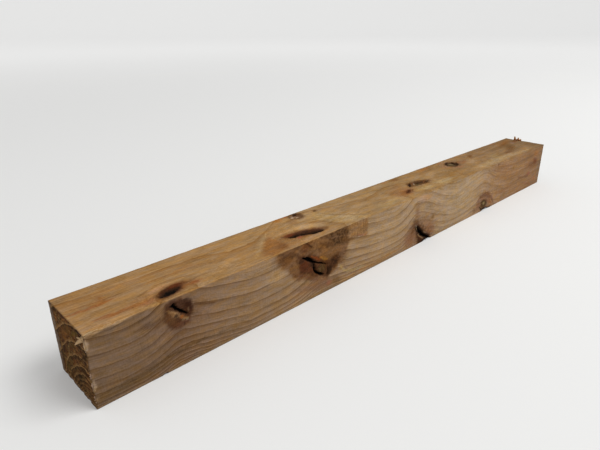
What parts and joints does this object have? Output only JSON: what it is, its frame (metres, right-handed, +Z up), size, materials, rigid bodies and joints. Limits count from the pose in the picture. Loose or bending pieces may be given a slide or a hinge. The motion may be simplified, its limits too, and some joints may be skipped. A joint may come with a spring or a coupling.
{
  "type": "square sawn timber batten",
  "caption": "Square-section length of sawn knotty softwood, with drying cracks and bark pockets in its knots, a torn near corner and splinters at its far end.",
  "frame": {"origin": "on the floor, under the middle of the timber's length and width", "axes": "+X along the grain from the near end to the far end, -Y out of the front face, +Z up"},
  "size_m": [0.525, 0.045, 0.0488],
  "materials": {
    "sawn_softwood": "rough sawn, dry and unfinished"
  },
  "bodies": {
    "root": {"sawn_timber": "sawn_softwood"}
  },
  "joints": []
}
